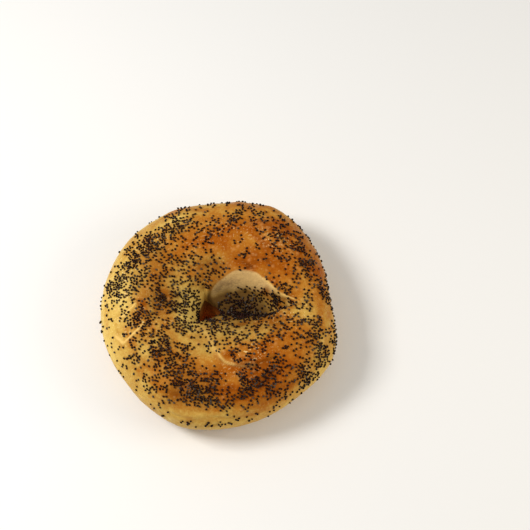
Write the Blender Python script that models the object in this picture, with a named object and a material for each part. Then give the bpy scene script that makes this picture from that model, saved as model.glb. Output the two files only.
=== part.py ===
"""A poppy seed bagel, lying on its flat base with the seeded side up.

One solid: a ring of boiled and baked dough, wider than it is high, with a small
off-centre hole. On the right of the hole the dough has swelled shut, which leaves
a deep funnel with a steep bare wall on its far side and a crease along its floor.
Poppy seeds are fused to the upper crust.

X is to the right, Y away from the eater, Z up. The origin is on the table under
the middle. The sizes below are millimetres, and the mesh is in metres.
"""

import math

import bmesh
import bpy
import numpy as np
from mathutils import Matrix, Vector

MM = 0.001

# The ring of dough
HALF_WIDTH = 54.6
HALF_DEPTH = 56.9
HEIGHT = 36.5
WAIST_Z = 16.5
OUTER_SQUARENESS = 2.25
INNER_SQUARENESS = 2.05
CREST_SHARE = 0.54
BASE_FLATTEN = 1.08
BASE_ROUNDING = 1.2
BASE_FLAT_WITHIN = 0.03

# Swells: share of the size, direction in degrees, and width in degrees
OUTLINE_SWELLS = (
    (0.048, 42, 28),
    (0.044, 55, 15),
    (0.076, -26, 18),
    (-0.010, 5, 14),
    (-0.022, 100, 20),
    (-0.006, -80, 26),
    (0.024, -108, 14),
    (-0.020, -148, 20),
)

# Swells of the crest: millimetres, direction in degrees, and width in degrees
CREST_SWELLS = (
    (-1.2, 175, 35),
    (-0.8, -20, 30),
    (-1.0, -115, 30),
    (-0.4, 75, 30),
)

# The hole at the waist: how far each side is from its middle, and the degrees it faces
HOLE_X = -3.6
HOLE_Y = 0.4
HOLE_SIDES = (
    (4.4, 49),
    (3.9, -67),
    (5.3, -174),
    (4.2, 155),
)
HOLE_CORNERS = 12.0

# How far it leans towards the eater on its way down, and how square its sides are there
HOLE_LEAN = 6.2
HOLE_LOW_SQUARENESS = 4.5

# The funnel, which runs from the hole to the right
FUNNEL_X = -4.5
FUNNEL_Y = -0.5
FUNNEL_TURN_DEG = -8.3
FUNNEL_START = 3.0
FUNNEL_WIDEST = 15.0
FUNNEL_NARROWS = 18.0
FUNNEL_CLOSES = 50.0
FUNNEL_LENGTH = 47.0
FUNNEL_START_SHARE = 0.68
FUNNEL_START_BEND = 1.0
FUNNEL_END_BEND = 2.0
CREASE_WANDER = 0.6
CREASE_WAVE = 38.0
FLOOR_START = 7.0
FLOOR_Z = 17.3
FLOOR_END_Z = 34.0
FLOOR_CURVE = 2.2
SHELF_REACH = 10.3
SHELF_SLOPE = 0.45
WALL_SLOPE = 2.3
WALL_BEND = 0.8
NEAR_SLOPE = 0.75
NEAR_LIP = 5.0
NEAR_LIP_RUN = 2.5
END_SLOPE = 2.5
RIM_ROUNDING = 1.8

# The lapped end of the dough, a tongue on the near side of the hole
TONGUE_X = 12.0
TONGUE_Y = -15.3
TONGUE_HALF_WIDTH = 19.0
TONGUE_REACH = 20.0
TONGUE_STEP = 1.3
TONGUE_STEP_RUN = 2.6
TONGUE_FADE = 15.0
TONGUE_FAR_END = 7.0
TONGUE_FAR_RUN = 12.0
TONGUE_RIGHT_END = 18.0
TONGUE_RIGHT_RUN = 9.0

# Unevenness of the crust, which fades in over this share of the way up to the crest
UNEVEN_RISE = 0.4
LUMP_HEIGHT = 0.4
LUMP_LENGTH = 26.0
PUCKER_HEIGHT = 0.22
PUCKER_LENGTH = 10.0

# The mesh of the dough before it is thinned to the triangles that its form needs
AROUND = 240
TUBE = 96
DOUGH_TRIANGLES = 4400

# Poppy seeds
SEED_COUNT = 208
SEED_LENGTH = 1.35
SEED_WIDTH = 1.1
SEED_THICKNESS = 0.9
SEED_SUNK = 0.15
SEED_SPACING = 5.2
SEED_TRIES = 20000
SEED_DRAW = 11
SEED_SIZES = (0.92, 1.08)
SEED_LOWEST_Z = 19.0
SEED_NEAR_Y = -35.0
SEED_NEAR_RISE = 8.0
BARE_WALL_MARGIN = 1.5

CRUST_COLOUR = (0.60, 0.31, 0.07, 1.0)
CRUST_ROUGHNESS = 0.45
SEED_COLOUR = (0.012, 0.011, 0.013, 1.0)
SEED_ROUGHNESS = 0.5


def clear_scene():
    for thing in list(bpy.data.objects):
        bpy.data.objects.remove(thing)


def smoothstep(value):
    value = np.clip(value, 0.0, 1.0)
    return value * value * (3.0 - 2.0 * value)


def smooth_minimum(a, b, rounding):
    """The lower of two heights, with the corner between them rounded."""
    gap = np.clip(rounding - np.abs(a - b), 0.0, None)
    return np.minimum(a, b) - gap * gap / (4.0 * rounding)


def soft_ramp(value, bend):
    """Near 0 well below 0 and near the value itself well above, with a rounded corner."""
    return 0.5 * (value + np.sqrt(value * value + bend * bend))


def swells(angle, bumps):
    """The sum of smooth bumps, each in one direction round the ring."""
    total = np.zeros(np.shape(angle))
    for height, at_deg, width_deg in bumps:
        turn = np.angle(np.exp(1j * (angle - math.radians(at_deg))))
        total = total + height * np.exp(-((turn / math.radians(width_deg)) ** 2))
    return total


def rolling(x, y, length, seed, waves=16):
    """Soft unevenness of about -1 to 1: waves of nearly one length in seeded directions."""
    draw = np.random.default_rng(seed)
    heading = draw.uniform(0.0, 2.0 * math.pi, size=waves)
    pace = 2.0 * math.pi / length * draw.uniform(0.6, 1.3, size=waves)
    start = draw.uniform(0.0, 2.0 * math.pi, size=waves)
    total = np.zeros(np.shape(x))
    for turned, k, shift in zip(heading, pace, start):
        total = total + np.sin(k * (x * math.cos(turned) + y * math.sin(turned)) + shift)
    return total * math.sqrt(2.0 / waves)


def outer_radius(angle):
    """From the middle to the widest line of the crust."""
    oval = HALF_WIDTH * HALF_DEPTH / np.hypot(
        HALF_DEPTH * np.cos(angle), HALF_WIDTH * np.sin(angle)
    )
    return oval * (1.0 + swells(angle, OUTLINE_SWELLS))


def outline_middle():
    """The middle of the outline's box, which ends up over the origin."""
    angle = np.linspace(0.0, 2.0 * math.pi, 1440, endpoint=False)
    x = outer_radius(angle) * np.cos(angle)
    y = outer_radius(angle) * np.sin(angle)
    return 0.5 * (x.min() + x.max()), 0.5 * (y.min() + y.max())


def hole_radius(angle):
    """From the hole's middle to its edge at the waist: straight sides with rounded corners."""
    total = np.zeros(np.shape(angle))
    for distance, faces_deg in HOLE_SIDES:
        share = np.cos(angle - math.radians(faces_deg)) / distance
        total = total + np.clip(share, 0.0, None) ** HOLE_CORNERS
    return total ** (-1.0 / HOLE_CORNERS)


def funnel_place(x, y):
    """Where a point lies in the funnel: how far along it, and on which side of its crease."""
    turned = math.radians(FUNNEL_TURN_DEG)
    along = (x - FUNNEL_X) * math.cos(turned) + (y - FUNNEL_Y) * math.sin(turned)
    away = (y - FUNNEL_Y) * math.cos(turned) - (x - FUNNEL_X) * math.sin(turned)
    away = away - CREASE_WANDER * np.sin(2.0 * math.pi * along / CREASE_WAVE)
    before = np.clip(1.0 - along / FUNNEL_WIDEST, 0.0, None)
    after = np.clip((along - FUNNEL_NARROWS) / (FUNNEL_CLOSES - FUNNEL_NARROWS), 0.0, 1.0)
    opening = np.sqrt(np.clip(1.0 - (1.0 - FUNNEL_START_SHARE ** 2) * before ** 2, 0.01, 1.0))
    closing = 0.5 + 0.5 * np.cos(math.pi * after)
    return along, away / np.clip(opening * closing, 0.1, None)


def funnel_height(x, y):
    """Height of the funnel's floor and walls, which the crust can't rise above."""
    along, away = funnel_place(x, y)
    share = np.clip((along - FLOOR_START) / (FUNNEL_LENGTH - FLOOR_START), 0.0, 1.5)
    floor_z = FLOOR_Z + (FLOOR_END_Z - FLOOR_Z) * share ** FLOOR_CURVE
    near = np.clip(-away, 0.0, None)
    rise = SHELF_SLOPE * np.clip(away, 0.0, None) + NEAR_SLOPE * near
    rise = rise + NEAR_LIP * (1.0 - np.exp(-near / NEAR_LIP_RUN))
    rise = rise + (WALL_SLOPE - SHELF_SLOPE) * soft_ramp(away - SHELF_REACH, WALL_BEND)
    past_start = soft_ramp(-along - FUNNEL_START, FUNNEL_START_BEND)
    past_end = soft_ramp(along - FUNNEL_LENGTH, FUNNEL_END_BEND)
    return floor_z + rise + END_SLOPE * (past_start + past_end)


def on_bare_wall(x, y, z):
    """Whether a point of the crust is on the funnel's steep far wall, where no seeds stuck."""
    away = funnel_place(x, y)[1]
    return (away > SHELF_REACH) & (z > funnel_height(x, y) - BARE_WALL_MARGIN)


def tongue_height(x, y):
    """The lapped end stands above the crust beyond its rim, most along its near side."""
    reach = np.hypot((x - TONGUE_X) / TONGUE_HALF_WIDTH, (y - TONGUE_Y) / TONGUE_REACH)
    beyond = (reach - 1.0) * TONGUE_REACH
    step = smoothstep(0.5 - beyond / TONGUE_STEP_RUN)
    fade = np.exp(-np.clip(beyond, 0.0, None) / TONGUE_FADE)
    near_side = smoothstep((TONGUE_Y + TONGUE_FAR_END - y) / TONGUE_FAR_RUN)
    left_side = smoothstep((TONGUE_X + TONGUE_RIGHT_END - x) / TONGUE_RIGHT_RUN)
    return TONGUE_STEP * (step - fade) * near_side * left_side


def base_profile(up):
    """Height of the crust below the waist, which meets the flat base in a rounded corner."""
    height = WAIST_Z * (1.0 + BASE_FLATTEN * up)
    corner = np.clip(height + BASE_ROUNDING, 0.0, 2.0 * BASE_ROUNDING) ** 2 / (4.0 * BASE_ROUNDING)
    return corner + np.clip(height - BASE_ROUNDING, 0.0, None)


def dough_surface(around, tube):
    """Points of the crust. around is the direction from the hole, and tube turns from the
    widest line (0) over the crest (a quarter) to the hole (a half) and back under the base."""
    across = np.cos(tube)
    up = np.sin(tube)
    inner_squareness = np.where(up < 0.0, HOLE_LOW_SQUARENESS, INNER_SQUARENESS)
    squareness = np.where(across > 0.0, OUTER_SQUARENESS, inner_squareness)
    across = np.sign(across) * np.abs(across) ** (2.0 / squareness)
    up = np.sign(up) * np.abs(up) ** (2.0 / squareness)
    share = CREST_SHARE + np.where(across > 0.0, 1.0 - CREST_SHARE, CREST_SHARE) * across

    depth = smoothstep(-up)
    hole = hole_radius(around)
    hole_y = HOLE_Y - HOLE_LEAN * depth
    outer = outer_radius(around)
    x = (1.0 - share) * (HOLE_X + hole * np.cos(around)) + share * outer * np.cos(around)
    y = (1.0 - share) * (hole_y + hole * np.sin(around)) + share * outer * np.sin(around)

    top = WAIST_Z + (HEIGHT + swells(around, CREST_SWELLS) - WAIST_Z) * up
    upper = smoothstep(up / UNEVEN_RISE)
    top = top + upper * LUMP_HEIGHT * rolling(x, y, LUMP_LENGTH, seed=3)
    top = top + upper * PUCKER_HEIGHT * rolling(x, y, PUCKER_LENGTH, seed=8)
    top = top + upper * tongue_height(x, y)
    top = np.maximum(smooth_minimum(top, funnel_height(x, y), RIM_ROUNDING), WAIST_Z)
    z = np.where(up >= 0.0, top, base_profile(up))
    return np.stack([x, y, z], axis=-1)


def dough_mesh():
    """A closed grid of quads over the ring."""
    around, tube = np.meshgrid(
        np.linspace(0.0, 2.0 * math.pi, AROUND, endpoint=False),
        np.linspace(0.0, 2.0 * math.pi, TUBE, endpoint=False),
        indexing="ij",
    )
    points = (dough_surface(around, tube) * MM).reshape(-1, 3)
    faces = [
        (
            i * TUBE + j,
            (i + 1) % AROUND * TUBE + j,
            (i + 1) % AROUND * TUBE + (j + 1) % TUBE,
            i * TUBE + (j + 1) % TUBE,
        )
        for i in range(AROUND)
        for j in range(TUBE)
    ]
    mesh = bpy.data.meshes.new("bagel")
    mesh.from_pydata(points.tolist(), [], faces)
    return mesh


def new_material(name, colour, roughness):
    material = bpy.data.materials.new(name)
    material.use_nodes = True
    shader = material.node_tree.nodes["Principled BSDF"]
    shader.inputs["Base Color"].default_value = colour
    shader.inputs["Roughness"].default_value = roughness
    return material


def bake_modifiers(thing):
    """Puts the modifiers' result into the object's own mesh."""
    graph = bpy.context.evaluated_depsgraph_get()
    mesh = bpy.data.meshes.new_from_object(thing.evaluated_get(graph))
    thing.modifiers.clear()
    thing.data = mesh


def make_dough():
    dough = bpy.data.objects.new("bagel", dough_mesh())
    bpy.context.scene.collection.objects.link(dough)
    dough.data.materials.append(new_material("crust", CRUST_COLOUR, CRUST_ROUGHNESS))
    thin = dough.modifiers.new("thin", "DECIMATE")
    thin.ratio = DOUGH_TRIANGLES / (2.0 * AROUND * TUBE)
    thin.use_collapse_triangulate = True
    bake_modifiers(dough)
    for vertex in dough.data.vertices:
        if vertex.co.z < BASE_FLAT_WITHIN * MM:
            vertex.co.z = 0.0
    return dough


def seed_places(dough):
    """Points on the seeded crust, each with the crust's normal, at least SEED_SPACING apart."""
    draw = np.random.default_rng(SEED_DRAW)
    faces = dough.data.polygons
    area = np.array([face.area for face in faces])
    corners = np.array([[dough.data.vertices[i].co for i in face.vertices] for face in faces])
    chosen = []
    for index in draw.choice(len(faces), size=SEED_TRIES, p=area / area.sum()):
        share = draw.dirichlet((1.0, 1.0, 1.0))
        point = share @ corners[index]
        normal = np.array(faces[int(index)].normal)
        x, y, z = point / MM
        seeded = z > SEED_LOWEST_Z + SEED_NEAR_RISE * (y < SEED_NEAR_Y)
        if not seeded or normal[2] < 0.0 or on_bare_wall(x, y, z):
            continue
        if all(np.linalg.norm(point - other) > SEED_SPACING * MM for other, _ in chosen):
            chosen.append((point, normal))
        if len(chosen) == SEED_COUNT:
            break
    return chosen


def make_seeds(dough):
    """The seeds, each lying on its flatter side and sunk a little, in a collection of their own."""
    draw = np.random.default_rng(SEED_DRAW + 1)
    seeds = bpy.data.collections.new("seeds")
    bpy.context.scene.collection.children.link(seeds)
    coat = new_material("seed", SEED_COLOUR, SEED_ROUGHNESS)
    size = np.array([SEED_LENGTH, SEED_WIDTH, SEED_THICKNESS]) * MM
    for index, (point, normal) in enumerate(seed_places(dough)):
        centre = Vector(point + normal * size[2] * (0.5 - SEED_SUNK))
        upright = Vector(normal).to_track_quat("Z", "Y").to_matrix().to_4x4()
        spun = Matrix.Rotation(draw.uniform(0.0, 2.0 * math.pi), 4, "Z")
        shape = Matrix.Diagonal((*(size * draw.uniform(*SEED_SIZES)), 1.0))
        form = bmesh.new()
        place = Matrix.Translation(centre) @ upright @ spun @ shape
        bmesh.ops.create_icosphere(form, subdivisions=1, radius=0.5, matrix=place)
        mesh = bpy.data.meshes.new(f"seed_{index:03d}")
        form.to_mesh(mesh)
        form.free()
        mesh.materials.append(coat)
        seeds.objects.link(bpy.data.objects.new(mesh.name, mesh))
    return seeds


def fuse(dough, seeds):
    """Makes the dough and its seeds one closed solid."""
    join = dough.modifiers.new("join", "BOOLEAN")
    join.operation = "UNION"
    join.operand_type = "COLLECTION"
    join.collection = seeds
    join.solver = "EXACT"
    bake_modifiers(dough)
    for seed in list(seeds.objects):
        bpy.data.objects.remove(seed)


def centre(bagel):
    middle_x, middle_y = outline_middle()
    bagel.data.transform(Matrix.Translation((-middle_x * MM, -middle_y * MM, 0.0)))


def main():
    clear_scene()
    bagel = make_dough()
    fuse(bagel, make_seeds(bagel))
    centre(bagel)


main()
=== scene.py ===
"""The looks of a poppy seed bagel that lies on a pale table, seen from the eater's side.

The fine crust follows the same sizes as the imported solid, so both have one form.
Lengths on the bagel are millimetres until MM turns them into metres.
"""

import math
from collections import namedtuple
from itertools import product

import bmesh
import bpy
import numpy as np
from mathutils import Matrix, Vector, noise
from mathutils.bvhtree import BVHTree
from mathutils.kdtree import KDTree


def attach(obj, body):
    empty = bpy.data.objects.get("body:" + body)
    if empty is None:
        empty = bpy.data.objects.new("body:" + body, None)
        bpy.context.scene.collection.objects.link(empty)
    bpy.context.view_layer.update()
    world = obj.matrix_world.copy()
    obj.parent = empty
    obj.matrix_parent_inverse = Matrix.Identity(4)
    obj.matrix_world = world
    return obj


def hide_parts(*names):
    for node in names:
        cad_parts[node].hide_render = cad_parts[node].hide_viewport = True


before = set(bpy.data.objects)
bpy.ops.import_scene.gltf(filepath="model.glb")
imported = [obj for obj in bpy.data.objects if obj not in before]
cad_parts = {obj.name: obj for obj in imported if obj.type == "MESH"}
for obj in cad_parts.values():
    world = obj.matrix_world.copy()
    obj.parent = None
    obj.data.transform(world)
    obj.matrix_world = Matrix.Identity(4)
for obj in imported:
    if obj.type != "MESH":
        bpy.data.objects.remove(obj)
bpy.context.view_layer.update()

MM = 0.001
TINY = 1e-9

# The ring of dough
HALF_WIDTH = 54.6
HALF_DEPTH = 56.9
HEIGHT = 36.5
WAIST_Z = 16.5
OUTER_SQUARENESS = 2.25
INNER_SQUARENESS = 2.05
CREST_SHARE = 0.54
BASE_FLATTEN = 1.08
BASE_ROUNDING = 1.2
OUTLINE_STEPS = 1440

# Swells: share of the size, direction in degrees, and width in degrees
OUTLINE_SWELLS = (
    (0.048, 42, 28),
    (0.044, 55, 15),
    (0.076, -26, 18),
    (-0.010, 5, 14),
    (-0.022, 100, 20),
    (-0.006, -80, 26),
    (0.024, -108, 14),
    (-0.020, -148, 20),
)

# Swells of the crest: millimetres, direction in degrees, and width in degrees
CREST_SWELLS = (
    (-1.2, 175, 35),
    (-0.8, -20, 30),
    (-1.0, -115, 30),
    (-0.4, 75, 30),
)

# The hole at the waist: how far each side is from its middle, and the degrees it faces
HOLE_X = -3.6
HOLE_Y = 0.4
HOLE_SIDES = (
    (4.4, 49),
    (3.9, -67),
    (5.3, -174),
    (4.2, 155),
)
HOLE_CORNERS = 12.0

# How far it leans towards the eater on its way down, and how square its sides are there
HOLE_LEAN = 6.2
HOLE_LOW_SQUARENESS = 4.5

# The funnel, which runs from the hole to the right
FUNNEL_X = -4.5
FUNNEL_Y = -0.5
FUNNEL_TURN_DEG = -8.3
FUNNEL_START = 3.0
FUNNEL_WIDEST = 15.0
FUNNEL_NARROWS = 18.0
FUNNEL_CLOSES = 50.0
FUNNEL_LENGTH = 47.0
FUNNEL_START_SHARE = 0.68
FUNNEL_LEAST_SHARE = 0.1
FUNNEL_START_BEND = 1.0
FUNNEL_END_BEND = 2.0
CREASE_WANDER = 0.6
CREASE_WAVE = 38.0
FLOOR_START = 7.0
FLOOR_Z = 17.3
FLOOR_END_Z = 34.0
FLOOR_CURVE = 2.2
FLOOR_PAST_END = 1.5
SHELF_REACH = 10.3
SHELF_SLOPE = 0.45
WALL_SLOPE = 2.3
WALL_BEND = 0.8
NEAR_SLOPE = 0.75
NEAR_LIP = 5.0
NEAR_LIP_RUN = 2.5
END_SLOPE = 2.5
RIM_ROUNDING = 1.8

# The lapped end of the dough, a tongue on the near side of the hole
TONGUE_X = 12.0
TONGUE_Y = -15.3
TONGUE_HALF_WIDTH = 19.0
TONGUE_REACH = 20.0
TONGUE_STEP = 1.3
TONGUE_STEP_RUN = 2.0
TONGUE_FADE = 15.0
TONGUE_FAR_END = 7.0
TONGUE_FAR_RUN = 12.0
TONGUE_RIGHT_END = 18.0
TONGUE_RIGHT_RUN = 9.0

# Unevenness of the crust, which fades in over this share of the way up to the crest
UNEVEN_RISE = 0.4
LUMP_HEIGHT = 0.4
LUMP_LENGTH = 26.0
PUCKER_HEIGHT = 0.22
PUCKER_LENGTH = 10.0
WAVE_PACES = (0.6, 1.3)
GRAIN_SHIFT = (17.3, 5.9, 11.7)

# The grid of the fine crust: points round the ring, over its top and under it
AROUND = 480
TUBE_TOP = 164
TUBE_UNDER = 40

# A patch of the crust: its place, its half sizes, how much of something it adds, and its turn
Patch = namedtuple("Patch", "x y half_x half_y amount turned_deg", defaults=(0,))


def patches(*rows):
    return tuple(Patch(*row) for row in rows)


# A fold: how high its ridge stands, its half width, how far its left side stands above its
# right side, how pale its ridge is painted as a highlight, and the places that it passes
Fold = namedtuple("Fold", "ridge width step paleness places")
FOLDS = (
    Fold(0.7, 0.6, 0.8, 1.5, (
        (-33, -10.6), (-36.5, -14.2), (-40.4, -17.1), (-43.1, -18.5), (-44.8, -16.2), (-48, -12.7),
    )),
    Fold(0.48, 0.55, 0.6, 1.1, ((-36.2, 0.6), (-38.7, -2.1), (-42.4, -5.4), (-45.5, -6.8))),
    Fold(0.25, 0.6, 0.2, 0.2, ((-29, -1), (-33.5, 2.5), (-38, 4))),
    Fold(-0.35, 0.9, 0.3, 0, ((-29.8, 20.2), (-25.5, 24.2), (-18.7, 27.2), (-14.4, 27.4))),
    Fold(-0.35, 0.9, 0.3, 0, ((-29.1, 13.7), (-24, 16.7), (-17.7, 18.8), (-10.4, 20.2))),
    Fold(0.4, 0.6, 0.2, 0.25, ((30.5, 32.5), (31.5, 29.5), (32.5, 26.5), (33.8, 23))),
    Fold(0.3, 0.5, 0.2, 0.25, ((36.4, 22.8), (37.4, 20.6), (38.4, 18.8))),
    Fold(0.35, 1, 0.5, 0.35, (
        (-6.8, -12), (-4.6, -18), (-2.4, -23.8), (-0.6, -28.8), (0.7, -32.3),
    )),
    Fold(0.52, 0.52, 0.35, 1, (
        (-1.2, -26), (0.1, -29.4), (1.1, -31.1), (2.7, -32.7), (5.3, -33.9), (8.6, -34.9),
    )),
    Fold(0.34, 0.46, 0.3, 0.35, ((5.3, -33.9), (9.1, -35.1), (12.9, -35.4), (17.5, -35.2))),
    Fold(0.2, 0.38, 0, 0.2, ((4.3, -31.3), (7, -33), (11, -34), (15.5, -34.2))),
    Fold(-0.35, 0.45, 0.3, 0, ((14.5, -35.3), (20.7, -33.5), (26.1, -30.9), (29.5, -28))),
    Fold(0.2, 0.45, -1.2, 0.3, ((6.3, -37), (8.2, -40.5), (9.2, -43.2), (11, -45.6))),
    Fold(0.3, 0.62, 0, 1, ((22.6, 8.4), (24.9, 6.3), (27.4, 3.2), (30, 0))),
    Fold(0.45, 0.36, 0, 1.3, (
        (27.5, 2.6), (29.4, 0.7), (31.2, -0.6), (33, -1.6), (35, -2.6), (38, -3.6),
    )),
    Fold(0.3, 0.4, 0, 0.8, ((33.6, -2.4), (34.2, -4.2), (35.4, -5.2), (38.9, -5.2))),
)

# How many fading ends make up a fold's length, how far off it is felt, and how far its step runs
FOLD_ENDS = 6.0
FOLD_REACH = 9.0
FOLD_STEP_RUN = 3.5

# From here on, a pair that fades something in or out says where that starts or ends, and
# over what length it runs
FOLD_RISE = (24.0, 5.0)

# Soft wrinkles along the ring: their width and height, how much paler their tops are, and
# the steps that draw them out, as shares of the width, with the gain on their mean
WRINKLE_WIDTH = 4.2
WRINKLE_HEIGHT = 0.30
WRINKLE_TOAST = 0.19
WRINKLE_RISE = (16.0, 10.0)
COMB_STEPS = (-1.6, -0.8, 0.0, 0.8, 1.6)
COMB_GAIN = 2.0

# The fine grain all over, in two sizes: height and length
COARSE_GRAIN = (0.13, 2.6)
FINE_GRAIN = (0.07, 1.3)
GRAIN_RISE = (2.0, 4.0)

# Blisters: where they gather, the half sizes of the place, and how many
BLISTER_PLACES = patches(
    (14, -27.5, 7, 3.5, 16),
    (29.5, 28.5, 6.5, 4, 34, -35),
    (25.5, 32, 2.4, 5, 22),
    (22, 21, 9, 5, 22, -20),
    (-40, -8, 7, 12, 34),
    (33, -12, 9, 6, 18),
    (40, 12, 7, 9, 22),
    (0, 0, 34, 34, 190),
)
BLISTER_RADIUS = (0.55, 1.25)
BLISTER_HEIGHT = 0.24
BLISTER_FROM_Z = 26.0
# How strongly a blister's height turns into its pale paint, partly a painted glint
BLISTER_LOOK = 2.4

# Furrows round the sides: how many, their heights, half lengths, tilts and depths, then how
# much they sag, their width, and the lip above each
FURROWS = 26
FURROW_Z = (7.0, 24.0)
FURROW_HALF = (4.0, 13.0)
FURROW_TILT = (-0.35, 0.35)
FURROW_DEPTH = (0.20, 0.50)
FURROW_SAG = 0.03
FURROW_WIDTH = 0.65
LIP_SHARE = 0.4
LIP_ABOVE = 1.4
LIP_WIDTH = 0.9

# Dents round the sides in the same terms, and where both fade
DENTS = 16
DENT_Z = (8.0, 24.0)
DENT_HALF = (3.0, 7.0)
DENT_DEPTH = (0.2, 0.5)
DENT_FLATNESS = 0.6
SIDE_FROM_MIDDLE = (36.0, 8.0)
SIDE_ABOVE = (3.0, 3.0)
SIDE_BELOW = (29.0, 4.0)

# Browning: 0 is pale dough, 1 is dark brown
SIDE_TOAST = 0.24
TOP_TOAST = 0.50
TOP_TOAST_RISE = (20.0, 12.0)
PATCH_TOAST_RISE = (12.0, 14.0)
BASE_TOAST = 0.35
BASE_TOAST_Z = 2.5
TOAST_PATCHES = patches(
    (-52, -2, 13, 42, -0.3),
    (-32, 42, 18, 14, -0.18, 30),
    (36, 28, 17, 15, 0.22),
    (40.5, -11, 5, 5, -0.22),
    (5.5, -41, 3.5, 3.5, -0.16),
    (2, 34, 14, 7, 0.16, 10),
    (14, 36, 8, 6, 0.1),
    (20, 17, 14, 4.5, 0.22, -20),
    (49.5, -8, 4, 5, 0.02),
    (32, 36, 8, 5, 0.1),
    (13, -20, 9, 4, -0.14),
    (9, -13, 10, 4, -0.1),
    (6, 22, 8, 4, -0.08),
    (18, -50.5, 9, 4, 0.1),
    (-42.5, 1, 4.5, 12, -0.28),
    (-34, 0, 3.5, 5, 0.2),
    (-5, -54, 24, 4, 0.06),
    (34, 33, 4, 3, -0.07),
    (46, -29, 4, 4, -0.07),
    (-27, -10, 7, 6, -0.12),
    (-27, -19, 7, 5, -0.18),
    (-33, 18, 6, 5, -0.08),
    (25, 22, 6, 4, 0.16),
    (28.1, 27.3, 7, 1.5, -0.2, -50),
    (35.4, 26.4, 6, 1.3, -0.16, -50),
    (22.6, 27, 7, 1.5, 0.16, -50),
    (32, 26, 6, 1.2, 0.16, -50),
    (17.5, 30, 7, 1.6, -0.12, -50),
    (-27, 1, 6, 6, -0.1),
    (-28, -35, 4, 3, 0.07),
    (-4, 35, 9, 4, -0.08),
    (-35, -9, 4, 4, 0.08),
    (-35, -26, 5, 5, -0.12),
    (-28, -44, 6, 4, -0.03),
    (23, -13.5, 6, 3, 0.2),
    (20, -23, 6, 3, -0.08),
    (4, -46, 7, 4, 0.2),
    (-28, -27, 4, 4, 0.2),
    (3, -53, 6, 3, -0.12),
    (-39.5, -13, 5, 6, 0.13),
    (34, 12, 5, 4, 0.08),
    (-18, 9, 4, 4, -0.18),
    (17, 14, 5, 3, 0.24),
    (26, 6, 4, 3, 0.2),
    (31, -23, 5, 4, 0.1),
    (5, -30, 4, 3, 0.09),
    (-36, -17, 4, 4, 0.08),
    (12, -46, 4, 3, -0.18),
    (-20, -36, 4, 4, 0.07),
    (-25, 26, 5, 4, 0.07),
    (26, 43, 6, 3, -0.09),
    (14, -11, 6, 3, 0.09),
    (-15, -45, 8, 4, 0.08),
    (-23, 40, 6, 3, 0.08, 35),
    (-18, -28, 5, 4, -0.06),
    (-33, -37, 4, 4, -0.16),
    (4.5, -29.5, 4, 3, 0.16),
    (9, 17, 4, 2.5, 0.1),
    (25, -50, 14, 5, 0.15, 15),
    (30, -31, 6, 4, 0.12),
    (2, -16, 24, 9, -0.22),
    (17, -41, 15, 7, 0.42, 10),
    (36, -16, 9, 8, 0.12),
    (1, 28, 10, 8, 0.1, 20),
    (17, -30, 11, 6, 0.14),
    (37, -27, 9, 12, 0.12),
    # Paler here to lift the shaded slope left of the hole: painted light
    (-12, -2, 7, 12, -0.56),
    (-41, 14, 5, 12, -0.16, -15),
    (-15, 42, 12, 4, -0.28, 12),
    (-28, 28, 8, 6, -0.12, 40),
    (31, 29, 8, 5, -0.02),
    (42, -33, 7, 6, -0.18, 40),
    (46, -20, 5, 6, -0.2),
    (-8, -39, 12, 3.5, 0.14),
    (9, -44, 5, 3.5, -0.16),
    (-13, -53, 12, 4, -0.07),
    (-5, -26, 5, 5, -0.14),
    (22, -25, 8, 4, 0.14),
    (12, -33.5, 7, 3, 0.1),
    (52, 14, 5, 12, 0.25),
)

# Duller, darker dough round the hole and under the densest seeds: partly its own tone, partly painted
# shade
DULL_AND_SHADE_PATCHES = patches(
    (-27, 1, 8, 8.5, 1.2),
    (23, -14, 6.5, 4, 0.95),
    (-2, -10, 5, 3.5, 1),
    (0, 16, 6, 6, 0.7),
    (-28, -27, 4, 4, 0.4),
    (-25, 26, 6, 5, 0.55),
    (-20, -44, 6, 5, 0.55),
    (-17, -27.5, 5, 4.5, 0.45),
    (-11, -37, 6, 4, 0.3),
    (-18, 4, 5, 8, 0.5),
    (10, -11, 9, 4, 0.2),
    (-4, 18.5, 13, 4.5, 0.6),
    (-27, 16.5, 8, 7, 0.55),
    (-38, 13, 5, 7, 0.25),
    (33, -4.5, 5, 6, 0.5),
    (-26.5, -19, 7, 9, 0.25),
    (-19, -34, 7, 7, 0.45),
    (-7, -40, 8, 5, 0.5),
    (-4, -26, 6, 5, 0.25),
    (24, -13, 6, 6, 0.35),
    (-10, -20, 8, 10, 0.2),
    (8, -13, 20, 6, 0.8),
    (6, -20, 14, 5, 0.55),
    (-12, -46, 14, 5, 0.55),
    (-34, -30, 8, 7, 0.3),
)
# Darkening under dense seeds, partly painted shade of the seeds
DULL_AND_SHADE_BY_SEEDS = 0.20

# Pale flecks: partly flour and dry skin, partly painted glints
FLECKS_AND_GLINTS = 0.12
FLECK_AND_GLINT_PATCHES = patches(
    (-44, 8, 9, 24, 0.75),
    (-28, 31, 13, 6, 0.6, 40),
    (5, 33, 18, 8, 0.35),
    (14, -28, 9, 5, 0.65),
    (34, -10, 10, 8, 0.55),
    (4, -36, 12, 6, 0.3),
    (-30, -12, 9, 9, 0.35),
    (30, 26, 8, 7, 0.3),
    (28.1, 27.3, 7, 1.8, 0.9, -50),
    (35.4, 26.4, 6, 1.6, 0.8, -50),
)

# Small pale spots: the first where a flake of dry dough sticks, the second a painted highlight
PALE_SPOTS = patches(
    (39.6, -36.3, 0.8, 1.3, 0.9),
    (48.1, -23.3, 0.7, 0.9, 0.8),
)

# How far round each seed the crust is darkened: partly a real stain, partly painted contact shade
SEED_STAIN_AND_SHADE_REACH = 1.1

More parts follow.
